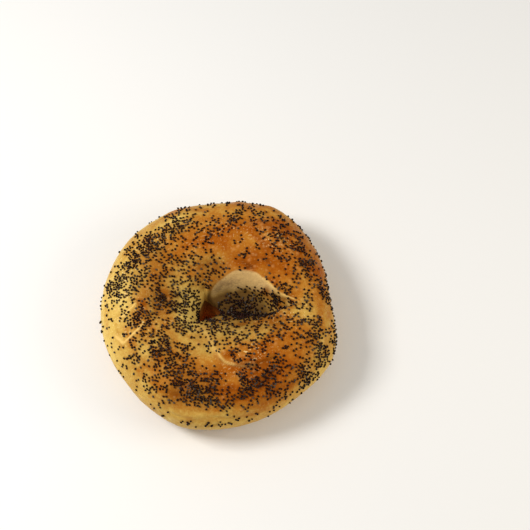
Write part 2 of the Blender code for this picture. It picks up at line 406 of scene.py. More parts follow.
# The painted shade in the funnel: below which height, over what depth it deepens, how near the
# funnel's own surface, from where along it, and how much less on its bare wall and right end
HOLLOW_TOP_Z = 33.0
HOLLOW_DEPTH = 12.0
HOLLOW_NEAR_FUNNEL = (8.0, 6.0)
HOLLOW_START = (-4.0, 4.0)
HOLLOW_BARE_SHARE = 0.5
HOLLOW_END_FADE = 0.70
HOLLOW_END = (26.0, 8.0)

# The orange wall down the hole: how near the hole, below and above which heights, and from
# which height up it darkens into a painted shade under the rim
DEEP_NEAR = (20.0, 4.0)
DEEP_BELOW = (17.0, 0.6)
DEEP_ABOVE = (1.0, 1.0)
DEEP_DARKENS = (9.0, 4.0)

# The torn wall: how far back its lower edge lies, how that changes to the right and left,
# how blurred and ragged the edge is, its rim, its ends, and from where it is painted lighter towards its
# right end, a painted light
BARE_FROM = 8.2
BARE_FALLS_AFTER = 15.0
BARE_FALL = 0.46
BARE_LEFT = (6.0, 8.0)
BARE_LEFT_DROP = 1.4
BARE_BLUR = 2.6
BARE_RAGGED = 0.25
BARE_RAG_LENGTH = 5.0
BARE_RIM = 1.05
BARE_RIM_RISE = 0.55
BARE_RIM_RISES = (18.0, 4.0)
BARE_START = (-2.0, 4.0)
BARE_END = 35.0
BARE_END_RUN = 8.0
BARE_PAINTED_LIGHT = (2.0, 20.0)

# The strip in front of the torn wall: how much thinner its seeds lie, its width and its painted shade
STRIP_THINNED = 0.65
STRIP_WIDTH = 2.4
STRIP_PAINTED_SHADE = 0.34

# Seeds for each square millimetre of crust
SEED_SPRINKLE = 0.014
SEED_PATCHES = patches(
    (-11.5, -45.5, 7, 3.6, 2.3, -12),
    (-17.5, -51.5, 6, 3, -0.45),
    (-21, -41.5, 8, 5, 0.25),
    (-18.5, -35, 8, 4.5, 0.42),
    (-2.5, -42, 7, 3.5, 0.15),
    (2, -50, 10, 3, 0.18),
    (14.5, -43.5, 4.5, 3.6, 0.9),
    (22.5, -40, 7, 3.6, 0.7, 31),
    (27, -34, 6, 4, 0.01),
    (41, -38, 6, 4.6, 0.48, 20),
    (27.5, -47.5, 7, 3.5, 0.15),
    (13, -50.5, 6, 3, 0.06),
    (-24.8, -22.6, 4.4, 4, 2.6),
    (-20.5, -29, 5, 5, 0.45),
    (-34.6, -8.6, 3.4, 3, 3.2, 40),
    (-25, 3.4, 7, 4.5, 0.5),
    (-16, 4, 6, 7, 0.7),
    (-19, -10.5, 9, 5, 0.24),
    (-36, -22, 7, 14, 0.07),
    (-30, 29.5, 12, 5, 1.75, 42),
    (-15.6, 37, 8, 3.5, 0.35, 22),
    (-43, 18, 7, 11, 1.4, -20),
    (-15.2, 20.7, 8, 7, 0.12),
    (-4.1, 32, 5, 3, 0.42, 25),
    (-3, 42, 7, 2.5, 0.03),
    (4.7, 37, 4, 3, 0.14),
    (-3.5, 14, 5, 5, 0.2, 20),
    (17, 40.5, 7, 4, 0.26),
    (32.5, 30, 4, 8, 0.15),
    (37.7, 21.7, 5, 6, 0.43),
    (41.8, 12.5, 3.4, 4.6, 0.85),
    (50, 0.5, 4, 8, 0.17),
    (47, -25, 6, 9, 0.28),
    (40.6, -13.5, 7, 7, 0.22),
    (26, -20.5, 9, 4.5, 0.24, -10),
    (31, 1, 4, 4, 0.3),
    (11.5, -1.6, 9, 2.4, 2.4, -8),
    (13, 3, 8, 2.6, 1, -10),
    (24, 1, 4, 2.6, 0.3, -40),
    (29, -0.5, 2.6, 2.6, 0.4),
    (19, 6.5, 7, 2, 0.22, -22),
    (17, -8, 10, 4, 0.4, -8),
    (2, -13, 8, 5, 0.05),
    (9, -23, 10, 8, 0.14),
    (-9.5, -3, 3, 9, -0.08),
    (11.5, -40.5, 2.2, 2.6, 0.9),
    (6, -41, 3.2, 3.4, -0.25),
    (2, -31, 3.5, 3.5, -0.12),
    (14, -51.5, 10, 3, -0.05),
    (48.5, -7.5, 3.5, 4, -0.4),
    (45, -4, 2.5, 2.5, 0.1),
    (-1, 5.6, 4.5, 3, -0.4),
    (3.5, 3.4, 3.5, 2, 0.14),
    (-8.8, -2, 1.2, 4.5, 0.36),
    (-1, -9.5, 4, 2, 0.45),
    (36.6, 21.2, 1.3, 1.3, -0.8),
    (-25, 39.5, 7, 3.5, -0.6),
    (-4, 41, 9, 3.5, -0.05),
)

# How low on the side the patches reach, with swells as above
SEED_EDGE_Z = 21.0
SEED_EDGE_RUN = 8.0
SEED_EDGE_SWELLS = (
    (9.5, 138, 36),
    (3.0, -150, 30),
    (-5.0, -25, 40),
)

# How far below that the sprinkle reaches, and the share of the half width within which
# neither has an edge
SPRINKLE_RUN = 9.0
INNER_SHARE = 0.5

# How far down the hole and the sides any seed sticks
HOLE_SEED_REACH = 9.0
HOLE_SEED_RISE = (17.0, 4.0)
SIDE_SEED_RISE = (8.0, 4.0)

# Clumps of seeds, in two sizes: strength and length
LARGE_CLUMPS = (2.1, 5.5)
SMALL_CLUMPS = (2.8, 2.4)
LEAST_CLUMP = 0.04

# Poppy seeds
SEED_LENGTH = 1.18
SEED_WIDTH = 0.98
SEED_THICKNESS = 0.84
SEED_COUNT = 3330
SEED_TRIES = 4
SEED_GAP = 0.98
SEED_STEP = (1.02, 1.60)
SEED_SUNK = 0.16
SEED_PILE_RISE = 0.55
SEED_PILE_CHANCE = 0.6
SEED_SIZES = (0.88, 1.14)
SEED_TILT = 0.22

# Strings of seeds: their mean and greatest length past the first seed, and how much they bend
STRING_MEAN = 0.5
STRING_MOST = 6
STRING_BEND = 0.7

# The kidney shapes of a seed, each with its notch and its taper
SEED_SHAPES = (
    (0.16, 0.25),
    (0.24, 0.10),
    (0.10, 0.38),
)
NOTCH_WIDTH = 0.22
NOTCH_SIDE = (-0.1, 0.5)
THICKNESS_TAPER = 0.4

# Colours as seen on a screen, from 0 to 255, and shares that darken a colour
CRUST_STOPS = (
    (0.00, (226, 192, 102)),
    (0.25, (203, 160, 74)),
    (0.50, (180, 115, 36)),
    (0.75, (156, 80, 9)),
    (1.00, (112, 53, 6)),
)
# Pale pinkish blisters: partly their own tone, partly painted glints
BLISTER_PALE_AND_GLINT = (220, 160, 96)
# Pale fold ridges: a painted highlight
RIDGE_HIGHLIGHT = (240, 200, 116)
# Colour of the pale flecks: partly flour and dry skin, partly painted glints
SPECK_AND_GLINT = (250, 226, 160)
BARE_DOUGH = (236, 198, 130)
# The torn wall's darker dough, mixed in by its crumb mottle and as painted shade towards its left end
BARE_DOUGH_DARK = (196, 164, 114)
# Colour of the painted shade in the funnel
HOLLOW_PAINTED_SHADE = (76, 50, 22)
DEEP_DOUGH = (236, 122, 34)
# Painted shade on the hole's wall just under its rim
DEEP_PAINTED_SHADE = (84, 26, 8)
# Darkening round seeds: partly a real stain, partly painted contact shade
SEED_STAIN_AND_SHADE = (0.50, 0.40, 0.34)
# How dark the duller dough and its painted shade get
DULL_AND_SHADE_COLOUR = (0.62, 0.58, 0.56)

# How much each look's paint covers at its strongest
PAINT_SHARES = {"blister_pale_and_glint": 0.5, "ridge": 0.75, "bare": 0.85, "funnel_painted_shade": 0.95, "deep": 0.85}
# How strongly the stain and contact shade round seeds darken the crust
SEED_STAIN_AND_SHADE_SHARE = 0.5

# The crust's noises: length in millimetres, detail and roughness. A range is which part of a
# noise counts, and what it becomes. A mottle is a length and how far it spreads the browning.
MOTTLES = ((14.0, 0.34), (4.0, 0.32), (1.3, 0.34), (0.6, 0.16))
MOTTLE_DETAIL = (3.0, 0.55)
SPECK_NOISE = (0.9, 1.0, 0.5)
SPECK_RANGE = (0.60, 0.72, 0.0, 0.8)
CRUMB_NOISE = (0.8, 2.0, 0.6)
CRUMB_SHARE = 1.1
CRUMB_CLOUDS = (5.0, 2.0, 0.5)
# How much the painted light towards the torn wall's right end adds to its crumb mix
CRUMB_PAINTED_LIGHT_SHARE = 0.35
CRUMB_RANGE = (0.85, 1.45)
SHEEN_NOISE = (3.0, 3.0, 0.6)
SHEEN_RANGE = (0.3, 0.7, 0.34, 0.52)
BARE_ROUGHER = 0.25
CRUST_SPECULAR = 0.06
CRUST_SPECULAR_TINT = (1.0, 0.78, 0.45, 1.0)

# Bumps: a noise, with its distortion where it has one, its height in millimetres, and its strength
COARSE_BUMP = ((1.6, 3.0, 0.6, 0.3), 0.30, 0.7)
FINE_BUMP = ((0.45, 2.0, 0.5), 0.08, 0.6)
SEED_BUMP = ((0.16, 1.0), 0.05, 0.6)

# The kinds of seed: their share of all seeds, and their darkest and lightest colour
SeedKind = namedtuple("SeedKind", "name share dark light")
SEED_KINDS = (
    SeedKind("seeds_black", 0.50, (14, 2, 3), (30, 12, 10)),
    SeedKind("seeds_slate", 0.20, (34, 28, 25), (78, 69, 61)),
    SeedKind("seeds_brown", 0.30, (32, 8, 6), (54, 24, 16)),
)
SEED_NOISE = (0.35, 2.0)
SEED_NOISE_SHARE = 0.6
SEED_SHADE_RANGE = (0.2, 1.4)
SEED_SHEEN_NOISE = (0.5,)
SEED_SHEEN_RANGE = (0.3, 0.7, 0.42, 0.6)
SEED_SPECULAR = 0.12

# The table and the lights, whose lengths are metres, and the studio
TABLE_HALF = 2.0
TABLE_COLOUR = (0.86, 0.86, 0.85, 1.0)
TABLE_ROUGHNESS = 0.6
Light = namedtuple("Light", "name at watts size colour")
LIGHTS = (
    Light("key", (-0.42, 0.05, 0.55), 3.5, 0.22, (1.0, 0.97, 0.93)),
    Light("fill", (0.62, -0.16, 0.40), 1.9, 0.40, (1.0, 0.90, 0.74)),
)
LIGHTS_AIM = (0.0, 0.0, 0.01)
STUDIO_COLOUR = (1.0, 1.0, 1.0, 1.0)
STUDIO_STRENGTH = 0.44

# The sockets of a Mix node that mixes colours
MIX_INPUTS = (0, 6, 7)
MIX_OUTPUT = 2

# The camera: where the middle of the bagel falls in the frame, the pixels and metres that
# the bagel spans, and from how high and how many metres off it is seen
FRAME_PX = 530
MIDDLE_PX = (212.8, 308.5)
SPAN_PX = 232
SPAN = 0.110
METRES_PER_PX = SPAN / SPAN_PX
VIEW_ELEVATION_DEG = 66.0
VIEW_DISTANCE = 0.75
SENSOR_MM = 36.0


def smoothstep(value):
    value = np.clip(value, 0.0, 1.0)
    return value * value * (3.0 - 2.0 * value)


def fade_in(value, start, run):
    """0 up to the start, rising smoothly to 1 over the run after it."""
    return smoothstep((value - start) / run)


def fade_out(value, end, run):
    """0 from the end on, rising smoothly to 1 over the run before it."""
    return smoothstep((end - value) / run)


def smooth_minimum(a, b, rounding):
    """The lower of two heights, with the corner between them rounded."""
    gap = np.clip(rounding - np.abs(a - b), 0.0, None)
    return np.minimum(a, b) - gap * gap / (4.0 * rounding)


def soft_ramp(value, bend):
    """Near 0 well below 0 and near the value itself well above, with a rounded corner."""
    return 0.5 * (value + np.sqrt(value * value + bend * bend))


def swells(angle, bumps):
    """The sum of smooth bumps, each in one direction round the ring."""
    total = np.zeros(np.shape(angle))
    for height, at_deg, width_deg in bumps:
        turn = np.angle(np.exp(1j * (angle - math.radians(at_deg))))
        total = total + height * np.exp(-((turn / math.radians(width_deg)) ** 2))
    return total


def along_across(x, y, turned_deg):
    """How far a place is along and to the left of an axis that is turned by an angle."""
    turned = math.radians(turned_deg)
    return x * math.cos(turned) + y * math.sin(turned), y * math.cos(turned) - x * math.sin(turned)


def mound(x, y, patch):
    """A smooth bump of height 1 over a patch."""
    along, across = along_across(x - patch.x, y - patch.y, patch.turned_deg)
    return np.exp(-((along / patch.half_x) ** 2) - (across / patch.half_y) ** 2)


def add_patches(x, y, table):
    return sum(patch.amount * mound(x, y, patch) for patch in table)


def rolling(x, y, length, seed, waves=16):
    """Soft unevenness of about -1 to 1: waves of nearly one length in seeded directions."""
    draw = np.random.default_rng(seed)
    heading = draw.uniform(0.0, math.tau, size=waves)
    pace = math.tau / length * draw.uniform(*WAVE_PACES, size=waves)
    start = draw.uniform(0.0, math.tau, size=waves)
    total = np.zeros(np.shape(x))
    for turned, k, shift in zip(heading, pace, start):
        total = total + np.sin(k * (x * math.cos(turned) + y * math.sin(turned)) + shift)
    return total * math.sqrt(2.0 / waves)


def grain(points, length, seed):
    """Irregular noise of about -1 to 1 at points in millimetres, with lumps of one length."""
    shift = Vector([seed * step for step in GRAIN_SHIFT])
    return np.array([noise.noise(Vector(point) / length + shift) for point in points.tolist()])


def combed(points, length, seed):
    """Irregular noise of about -1 to 1, drawn out along the ring."""
    along = np.stack([-points[:, 1], points[:, 0], np.zeros(len(points))], axis=-1)
    along /= np.linalg.norm(along, axis=-1, keepdims=True)
    steps = np.array(COMB_STEPS) * length
    return COMB_GAIN * sum(grain(points + step * along, length, seed) for step in steps) / len(steps)


def outer_radius(angle):
    """From the middle to the widest line of the crust."""
    oval = HALF_WIDTH * HALF_DEPTH / np.hypot(
        HALF_DEPTH * np.cos(angle), HALF_WIDTH * np.sin(angle)
    )
    return oval * (1.0 + swells(angle, OUTLINE_SWELLS))


def outline_middle():
    """The middle of the outline's box, which ends up over the origin."""
    angle = np.linspace(0.0, math.tau, OUTLINE_STEPS, endpoint=False)
    x = outer_radius(angle) * np.cos(angle)
    y = outer_radius(angle) * np.sin(angle)
    return 0.5 * (x.min() + x.max()), 0.5 * (y.min() + y.max())


def hole_radius(angle):
    """From the hole's middle to its edge at the waist: straight sides with rounded corners."""
    total = np.zeros(np.shape(angle))
    for distance, faces_deg in HOLE_SIDES:
        share = np.cos(angle - math.radians(faces_deg)) / distance
        total = total + np.clip(share, 0.0, None) ** HOLE_CORNERS
    return total ** (-1.0 / HOLE_CORNERS)


def funnel_place(x, y):
    """Where a point lies in the funnel: how far along it, and on which side of its crease."""
    along, away = along_across(x - FUNNEL_X, y - FUNNEL_Y, FUNNEL_TURN_DEG)
    away = away - CREASE_WANDER * np.sin(math.tau * along / CREASE_WAVE)
    before = np.clip(1.0 - along / FUNNEL_WIDEST, 0.0, None)
    after = np.clip((along - FUNNEL_NARROWS) / (FUNNEL_CLOSES - FUNNEL_NARROWS), 0.0, 1.0)
    opening = 1.0 - (1.0 - FUNNEL_START_SHARE ** 2) * before ** 2
    opening = np.sqrt(np.clip(opening, FUNNEL_LEAST_SHARE ** 2, 1.0))
    closing = 0.5 + 0.5 * np.cos(math.pi * after)
    return along, away / np.clip(opening * closing, FUNNEL_LEAST_SHARE, None)


def funnel_height(x, y):
    """Height of the funnel's floor and walls, which the crust can't rise above."""
    along, away = funnel_place(x, y)
    share = np.clip((along - FLOOR_START) / (FUNNEL_LENGTH - FLOOR_START), 0.0, FLOOR_PAST_END)
    floor_z = FLOOR_Z + (FLOOR_END_Z - FLOOR_Z) * share ** FLOOR_CURVE
    near = np.clip(-away, 0.0, None)
    rise = SHELF_SLOPE * np.clip(away, 0.0, None) + NEAR_SLOPE * near
    rise = rise + NEAR_LIP * (1.0 - np.exp(-near / NEAR_LIP_RUN))
    rise = rise + (WALL_SLOPE - SHELF_SLOPE) * soft_ramp(away - SHELF_REACH, WALL_BEND)
    past_start = soft_ramp(-along - FUNNEL_START, FUNNEL_START_BEND)
    past_end = soft_ramp(along - FUNNEL_LENGTH, FUNNEL_END_BEND)
    return floor_z + rise + END_SLOPE * (past_start + past_end)


def tongue_height(x, y):
    """The lapped end stands above the crust beyond its rim, most along its near side."""
    reach = np.hypot((x - TONGUE_X) / TONGUE_HALF_WIDTH, (y - TONGUE_Y) / TONGUE_REACH)
    beyond = (reach - 1.0) * TONGUE_REACH
    step = smoothstep(0.5 - beyond / TONGUE_STEP_RUN)
    fade = np.exp(-np.clip(beyond, 0.0, None) / TONGUE_FADE)
    near_side = smoothstep((TONGUE_Y + TONGUE_FAR_END - y) / TONGUE_FAR_RUN)
    left_side = smoothstep((TONGUE_X + TONGUE_RIGHT_END - x) / TONGUE_RIGHT_RUN)
    return TONGUE_STEP * (step - fade) * near_side * left_side


def base_profile(up):
    """Height of the crust below the waist, which meets the flat base in a rounded corner."""
    height = WAIST_Z * (1.0 + BASE_FLATTEN * up)
    corner = np.clip(height + BASE_ROUNDING, 0.0, 2.0 * BASE_ROUNDING) ** 2 / (4.0 * BASE_ROUNDING)
    return corner + np.clip(height - BASE_ROUNDING, 0.0, None)


def dough_surface(around, tube):
    """Points of the crust. around is the direction from the hole, and tube turns from the
    widest line (0) over the crest (a quarter) to the hole (a half) and back under the base."""
    across = np.cos(tube)
    up = np.sin(tube)
    inner_squareness = np.where(up < 0.0, HOLE_LOW_SQUARENESS, INNER_SQUARENESS)
    squareness = np.where(across > 0.0, OUTER_SQUARENESS, inner_squareness)
    across = np.sign(across) * np.abs(across) ** (2.0 / squareness)
    up = np.sign(up) * np.abs(up) ** (2.0 / squareness)
    share = CREST_SHARE + np.where(across > 0.0, 1.0 - CREST_SHARE, CREST_SHARE) * across

    depth = smoothstep(-up)
    hole = hole_radius(around)
    hole_y = HOLE_Y - HOLE_LEAN * depth
    outer = outer_radius(around)
    x = (1.0 - share) * (HOLE_X + hole * np.cos(around)) + share * outer * np.cos(around)
    y = (1.0 - share) * (hole_y + hole * np.sin(around)) + share * outer * np.sin(around)

    top = WAIST_Z + (HEIGHT + swells(around, CREST_SWELLS) - WAIST_Z) * up
    upper = smoothstep(up / UNEVEN_RISE)
    top = top + upper * LUMP_HEIGHT * rolling(x, y, LUMP_LENGTH, seed=3)
    top = top + upper * PUCKER_HEIGHT * rolling(x, y, PUCKER_LENGTH, seed=8)
    top = top + upper * tongue_height(x, y)
    top = np.maximum(smooth_minimum(top, funnel_height(x, y), RIM_ROUNDING), WAIST_Z)
    z = np.where(up >= 0.0, top, base_profile(up))
    return np.stack([x, y, z], axis=-1)


def grid_quads(rows, columns):
    """The corners of each face of a grid that closes both ways."""
    i, j = np.meshgrid(np.arange(rows), np.arange(columns), indexing="ij")
    next_i, next_j = (i + 1) % rows, (j + 1) % columns
    corners = ((i, j), (next_i, j), (next_i, next_j), (i, next_j))
    return np.stack([row * columns + column for row, column in corners], axis=-1).reshape(-1, 4)


def grid_normals(points):
    """Outward unit normals of a grid that closes both ways."""
    around = np.roll(points, -1, axis=0) - np.roll(points, 1, axis=0)
    tube = np.roll(points, -1, axis=1) - np.roll(points, 1, axis=1)
    normals = np.cross(around, tube)
    return normals / np.clip(np.linalg.norm(normals, axis=-1, keepdims=True), TINY, None)


def grid_areas(points):
    """The crust's area round each point of the grid, in square millimetres."""
    around = 0.5 * (np.roll(points, -1, axis=0) - np.roll(points, 1, axis=0))
    tube = 0.5 * (np.roll(points, -1, axis=1) - np.roll(points, 1, axis=1))
    return np.linalg.norm(np.cross(around, tube), axis=-1)


def smooth_path(places, steps=8):
    """Points along a smooth curve through the places."""
    known = np.array([places[0], *places, places[-1]], dtype=float)
    share = np.linspace(0.0, 1.0, steps, endpoint=False)[:, None]
    found = []
    for a, b, c, d in zip(known, known[1:], known[2:], known[3:]):
        bend = (2 * a - 5 * b + 4 * c - d) * share ** 2 + (3 * b - a - 3 * c + d) * share ** 3
        found.append(0.5 * (2 * b + (c - a) * share + bend))
    return np.concatenate(found + [known[-1:]])


def beside_path(x, y, path, reach):
    """How far each point lies to the left of a path, and how far along it, as a share.
    Points further off than reach keep a distance of reach."""
    nearest = np.full(x.shape, float(reach))
    side = np.ones(x.shape)
    share = np.zeros(x.shape)
    spans = len(path) - 1
    for number, (start, end) in enumerate(zip(path, path[1:])):
        run = end - start
        from_x, from_y = x - start[0], y - start[1]
        place = np.clip((from_x * run[0] + from_y * run[1]) / max(run @ run, TINY), 0.0, 1.0)
        gap = np.hypot(from_x - place * run[0], from_y - place * run[1])
        closer = gap < nearest
        nearest = np.where(closer, gap, nearest)
        side = np.where(closer, np.sign(run[0] * from_y - run[1] * from_x), side)
        share = np.where(closer, (number + place) / spans, share)
    return nearest * side, share


def fold_relief(x, y, fold):
    """The height of one fold, a ridge with one side a little higher, and its ridge's painted highlight.
    """
    left, share = beside_path(x, y, smooth_path(fold.places), FOLD_REACH)
    ends = smoothstep(share * FOLD_ENDS) * smoothstep((1.0 - share) * FOLD_ENDS)
    bump = np.exp(-((left / fold.width) ** 2))
    step = 0.5 * fold.step * np.tanh(left / fold.width) * np.exp(-((left / FOLD_STEP_RUN) ** 2))
    return ends * (fold.ridge * bump + step), fold.paleness * ends * bump


def blister_relief(x, y, z):
    """Small domes, which gather in BLISTER_PLACES."""
    draw = np.random.default_rng(seed=5)
    places = []
    for place in BLISTER_PLACES:
        spot = draw.normal(size=(place.amount, 2)) * (place.half_x, place.half_y)
        turned = math.radians(place.turned_deg)
        turn = np.array([[math.cos(turned), math.sin(turned)], [-math.sin(turned), math.cos(turned)]])
        places.append(spot @ turn + (place.x, place.y))
    places = np.concatenate(places)
    radii = draw.uniform(*BLISTER_RADIUS, size=len(places))
    top = np.flatnonzero(z > BLISTER_FROM_Z)
    tree = KDTree(len(top))
    for index in top.tolist():
        tree.insert((x[index], y[index], 0.0), index)
    tree.balance()
    height = np.zeros(x.shape)
    for place, radius in zip(places.tolist(), radii.tolist()):
        for _, index, gap in tree.find_range((*place, 0.0), radius):
            dome = (1.0 - (gap / radius) ** 2) ** 2
            height[index] = max(height[index], BLISTER_HEIGHT * dome * radius)
    return height


def side_relief(x, y, z):
    """Short furrows and shallow dents round the sides."""
    draw = np.random.default_rng(seed=12)
    around = np.arctan2(y, x)
    radius = np.hypot(x, y)
    outside = fade_in(radius, *SIDE_FROM_MIDDLE) * fade_in(z, *SIDE_ABOVE) * fade_out(z, *SIDE_BELOW)
    height = np.zeros(x.shape)
    for _ in range(FURROWS):
        at, level = draw.uniform(-math.pi, math.pi), draw.uniform(*FURROW_Z)
        half, tilt = draw.uniform(*FURROW_HALF), draw.uniform(*FURROW_TILT)
        depth = draw.uniform(*FURROW_DEPTH)
        along = np.angle(np.exp(1j * (around - at))) * radius
        across = z - level - tilt * along - FURROW_SAG * along ** 2
        ends = (along / half) ** 4
        height -= depth * np.exp(-ends - (across / FURROW_WIDTH) ** 2)
        height += LIP_SHARE * depth * np.exp(-ends - ((across - LIP_ABOVE) / LIP_WIDTH) ** 2)
    for _ in range(DENTS):
        at, level = draw.uniform(-math.pi, math.pi), draw.uniform(*DENT_Z)
        half, depth = draw.uniform(*DENT_HALF), draw.uniform(*DENT_DEPTH)
        along = np.angle(np.exp(1j * (around - at))) * radius
        across = (z - level) / (DENT_FLATNESS * half)
        height -= depth * np.exp(-((along / half) ** 2) - across ** 2)
    return outside * height


def bare_wall(x, y, z, forward=0.0):
    """1 on the steep far wall of the funnel, where the skin tore and no seed sticks.
    Its lower edge is moved forward by some millimetres."""
    along = funnel_place(x, y)[0]
    rim = BARE_RIM + BARE_RIM_RISE * fade_in(x, *BARE_RIM_RISES)
    inside = smoothstep(rim - (funnel_height(x, y) - z))
    edge = BARE_FROM - BARE_FALL * np.clip(x - BARE_FALLS_AFTER, 0.0, None)
    edge = edge - BARE_LEFT_DROP * fade_out(x, *BARE_LEFT)
    edge = edge + BARE_RAGGED * rolling(x, y, BARE_RAG_LENGTH, seed=14)
    on_far_side = smoothstep((y + forward - edge) / BARE_BLUR + 0.5)
    before_end = smoothstep((BARE_END - along) / BARE_END_RUN + 0.5)
    return inside * on_far_side * fade_in(along, *BARE_START) * before_end


def painted_funnel_shade(x, y, z, bare):
    """Painted shade inside the funnel, less on its bare wall and at its right end."""
    along = funnel_place(x, y)[0]
    shade = fade_out(funnel_height(x, y) - z, *HOLLOW_NEAR_FUNNEL) * (1.0 - HOLLOW_BARE_SHARE * bare)
    shade = shade * fade_out(z, HOLLOW_TOP_Z, HOLLOW_DEPTH) * fade_in(along, *HOLLOW_START)
    return shade * (1.0 - HOLLOW_END_FADE * fade_in(along, *HOLLOW_END))


def toast(x, y, z):
    """How brown the crust is, from 0, pale dough, to 1, dark brown."""
    level = SIDE_TOAST + (TOP_TOAST - SIDE_TOAST) * fade_in(z, *TOP_TOAST_RISE)
    level = level + add_patches(x, y, TOAST_PATCHES) * fade_in(z, *PATCH_TOAST_RISE)
    return level + BASE_TOAST * smoothstep(1.0 - z / BASE_TOAST_Z)


def seed_density(points, bare):
    """Seeds for each square millimetre of crust, gathered in clumps."""
    x, y, z = points.T
    edge = SEED_EDGE_Z + swells(np.arctan2(y, x), SEED_EDGE_SWELLS)
    inner = np.hypot(x, y) < INNER_SHARE * HALF_WIDTH
    high = np.where(inner, 1.0, smoothstep((z - edge) / SEED_EDGE_RUN))
    level = add_patches(x, y, SEED_PATCHES) * high
    level = level + SEED_SPRINKLE * np.where(inner, 1.0, smoothstep((z - edge) / SPRINKLE_RUN + 1.0))
    level = np.clip(level, 0.0, None) * (1.0 - bare)
    large = LARGE_CLUMPS[0] * grain(points, LARGE_CLUMPS[1], seed=4)
    small = SMALL_CLUMPS[0] * grain(points, SMALL_CLUMPS[1], seed=6)
    clumps = np.clip(1.0 + large + small, LEAST_CLUMP, None)
    near_hole = np.hypot(x - HOLE_X, y - HOLE_Y) < HOLE_SEED_REACH
    return level * clumps * np.where(near_hole, fade_in(z, *HOLE_SEED_RISE), fade_in(z, *SIDE_SEED_RISE))


def make_crust():
    """The fine crust in millimetres: its grid of points, and the looks at each point."""
    tube_angles = np.concatenate([
        np.linspace(0.0, math.pi, TUBE_TOP, endpoint=False),
        np.linspace(math.pi, math.tau, TUBE_UNDER, endpoint=False),
    ])
    around, tube = np.meshgrid(
        np.linspace(0.0, math.tau, AROUND, endpoint=False), tube_angles, indexing="ij"
    )
    smooth = dough_surface(around, tube)
    normals = grid_normals(smooth).reshape(-1, 3)
    flat = smooth.reshape(-1, 3)
    x, y, z = flat.T
    bare = bare_wall(x, y, z)
    top = fade_in(z, *FOLD_RISE)
    relief = side_relief(x, y, z)
    ridge_highlights = np.zeros(x.shape)
    for fold in FOLDS:
        height, ridge = fold_relief(x, y, fold)
        relief += top * height
        ridge_highlights = np.maximum(ridge_highlights, top * ridge)
    ridge_highlights = np.clip(np.maximum(ridge_highlights, add_patches(x, y, PALE_SPOTS)), 0.0, 1.0)
    blisters = blister_relief(x, y, z) * (1.0 - bare)
    relief += blisters
    coarse = COARSE_GRAIN[0] * grain(flat, COARSE_GRAIN[1], seed=1)
    fine = FINE_GRAIN[0] * grain(flat, FINE_GRAIN[1], seed=2)
    relief += fade_in(z, *GRAIN_RISE) * (coarse + fine)
    wrinkles = combed(flat, WRINKLE_WIDTH, seed=9) * fade_in(z, *WRINKLE_RISE) * (1.0 - bare)
    relief += WRINKLE_HEIGHT * wrinkles
    points = flat + normals * relief[:, None]

    strip = bare_wall(x, y, z, STRIP_WIDTH) * (1.0 - bare)
    density = seed_density(flat, bare) * (1.0 - ridge_highlights)
    density *= 1.0 - STRIP_THINNED * strip
    in_hole = fade_out(np.hypot(x - HOLE_X, y - HOLE_Y), *DEEP_NEAR)
    looks = {
        "toast": toast(x, y, z) - WRINKLE_TOAST * wrinkles,
        # Duller dough and painted shade round the hole and under dense seeds
        "dull_and_shade": add_patches(x, y, DULL_AND_SHADE_PATCHES) + DULL_AND_SHADE_BY_SEEDS * smoothstep(density),
        # Painted shade in the funnel and on the strip in front of the torn wall
        "funnel_painted_shade": np.maximum(painted_funnel_shade(x, y, z, bare), STRIP_PAINTED_SHADE * strip),
        "deep": in_hole * fade_out(z, *DEEP_BELOW) * fade_in(z, *DEEP_ABOVE),
        # Painted shade on the hole's wall just under its rim
        "hole_rim_painted_shade": fade_in(z, *DEEP_DARKENS),
        "bare": bare,
        # Painted light: the torn wall is lighter towards its right end
        "bare_painted_light": fade_in(funnel_place(x, y)[0], *BARE_PAINTED_LIGHT),
        # Painted highlights along fold ridges, and the pale spots
        "ridge": ridge_highlights,
        # Pale flecks: partly flour and dry skin, partly painted glints
        "fleck_and_glint": FLECKS_AND_GLINTS + add_patches(x, y, FLECK_AND_GLINT_PATCHES),
        # Pale pinkish blisters: partly their own tone, partly painted glints
        "blister_pale_and_glint": np.clip(BLISTER_LOOK * blisters, 0.0, 1.0),
    }
    return points.reshape(smooth.shape), looks, density


class SeedBed:
    """Places seeds on the crust, none nearer to another than SEED_GAP."""

    def __init__(self, points, quads):
        self.tree = BVHTree.FromPolygons(points.tolist(), quads.tolist())
        self.cells = {}
        self.seeds = []

    def cell(self, spot):
        return tuple(int(value // SEED_GAP) for value in spot)

    def crowded(self, spot):
        across, along, up = self.cell(spot)
        for i, j, k in product((-1, 0, 1), repeat=3):
            near = self.cells.get((across + i, along + j, up + k), ())
            if any((spot - other).length < SEED_GAP for other in near):
                return True
        return False

    def place(self, spot, pile):
        """Adds a seed at the crust's nearest point, on top of others if it may pile up."""
        at, normal, _, _ = self.tree.find_nearest(spot)
        for rise in (0.0, SEED_PILE_RISE) if pile else (0.0,):
            lifted = at + normal * rise
            if not self.crowded(lifted):
                self.cells.setdefault(self.cell(lifted), []).append(lifted)
                self.seeds.append((lifted, normal))
                break
        return at, normal


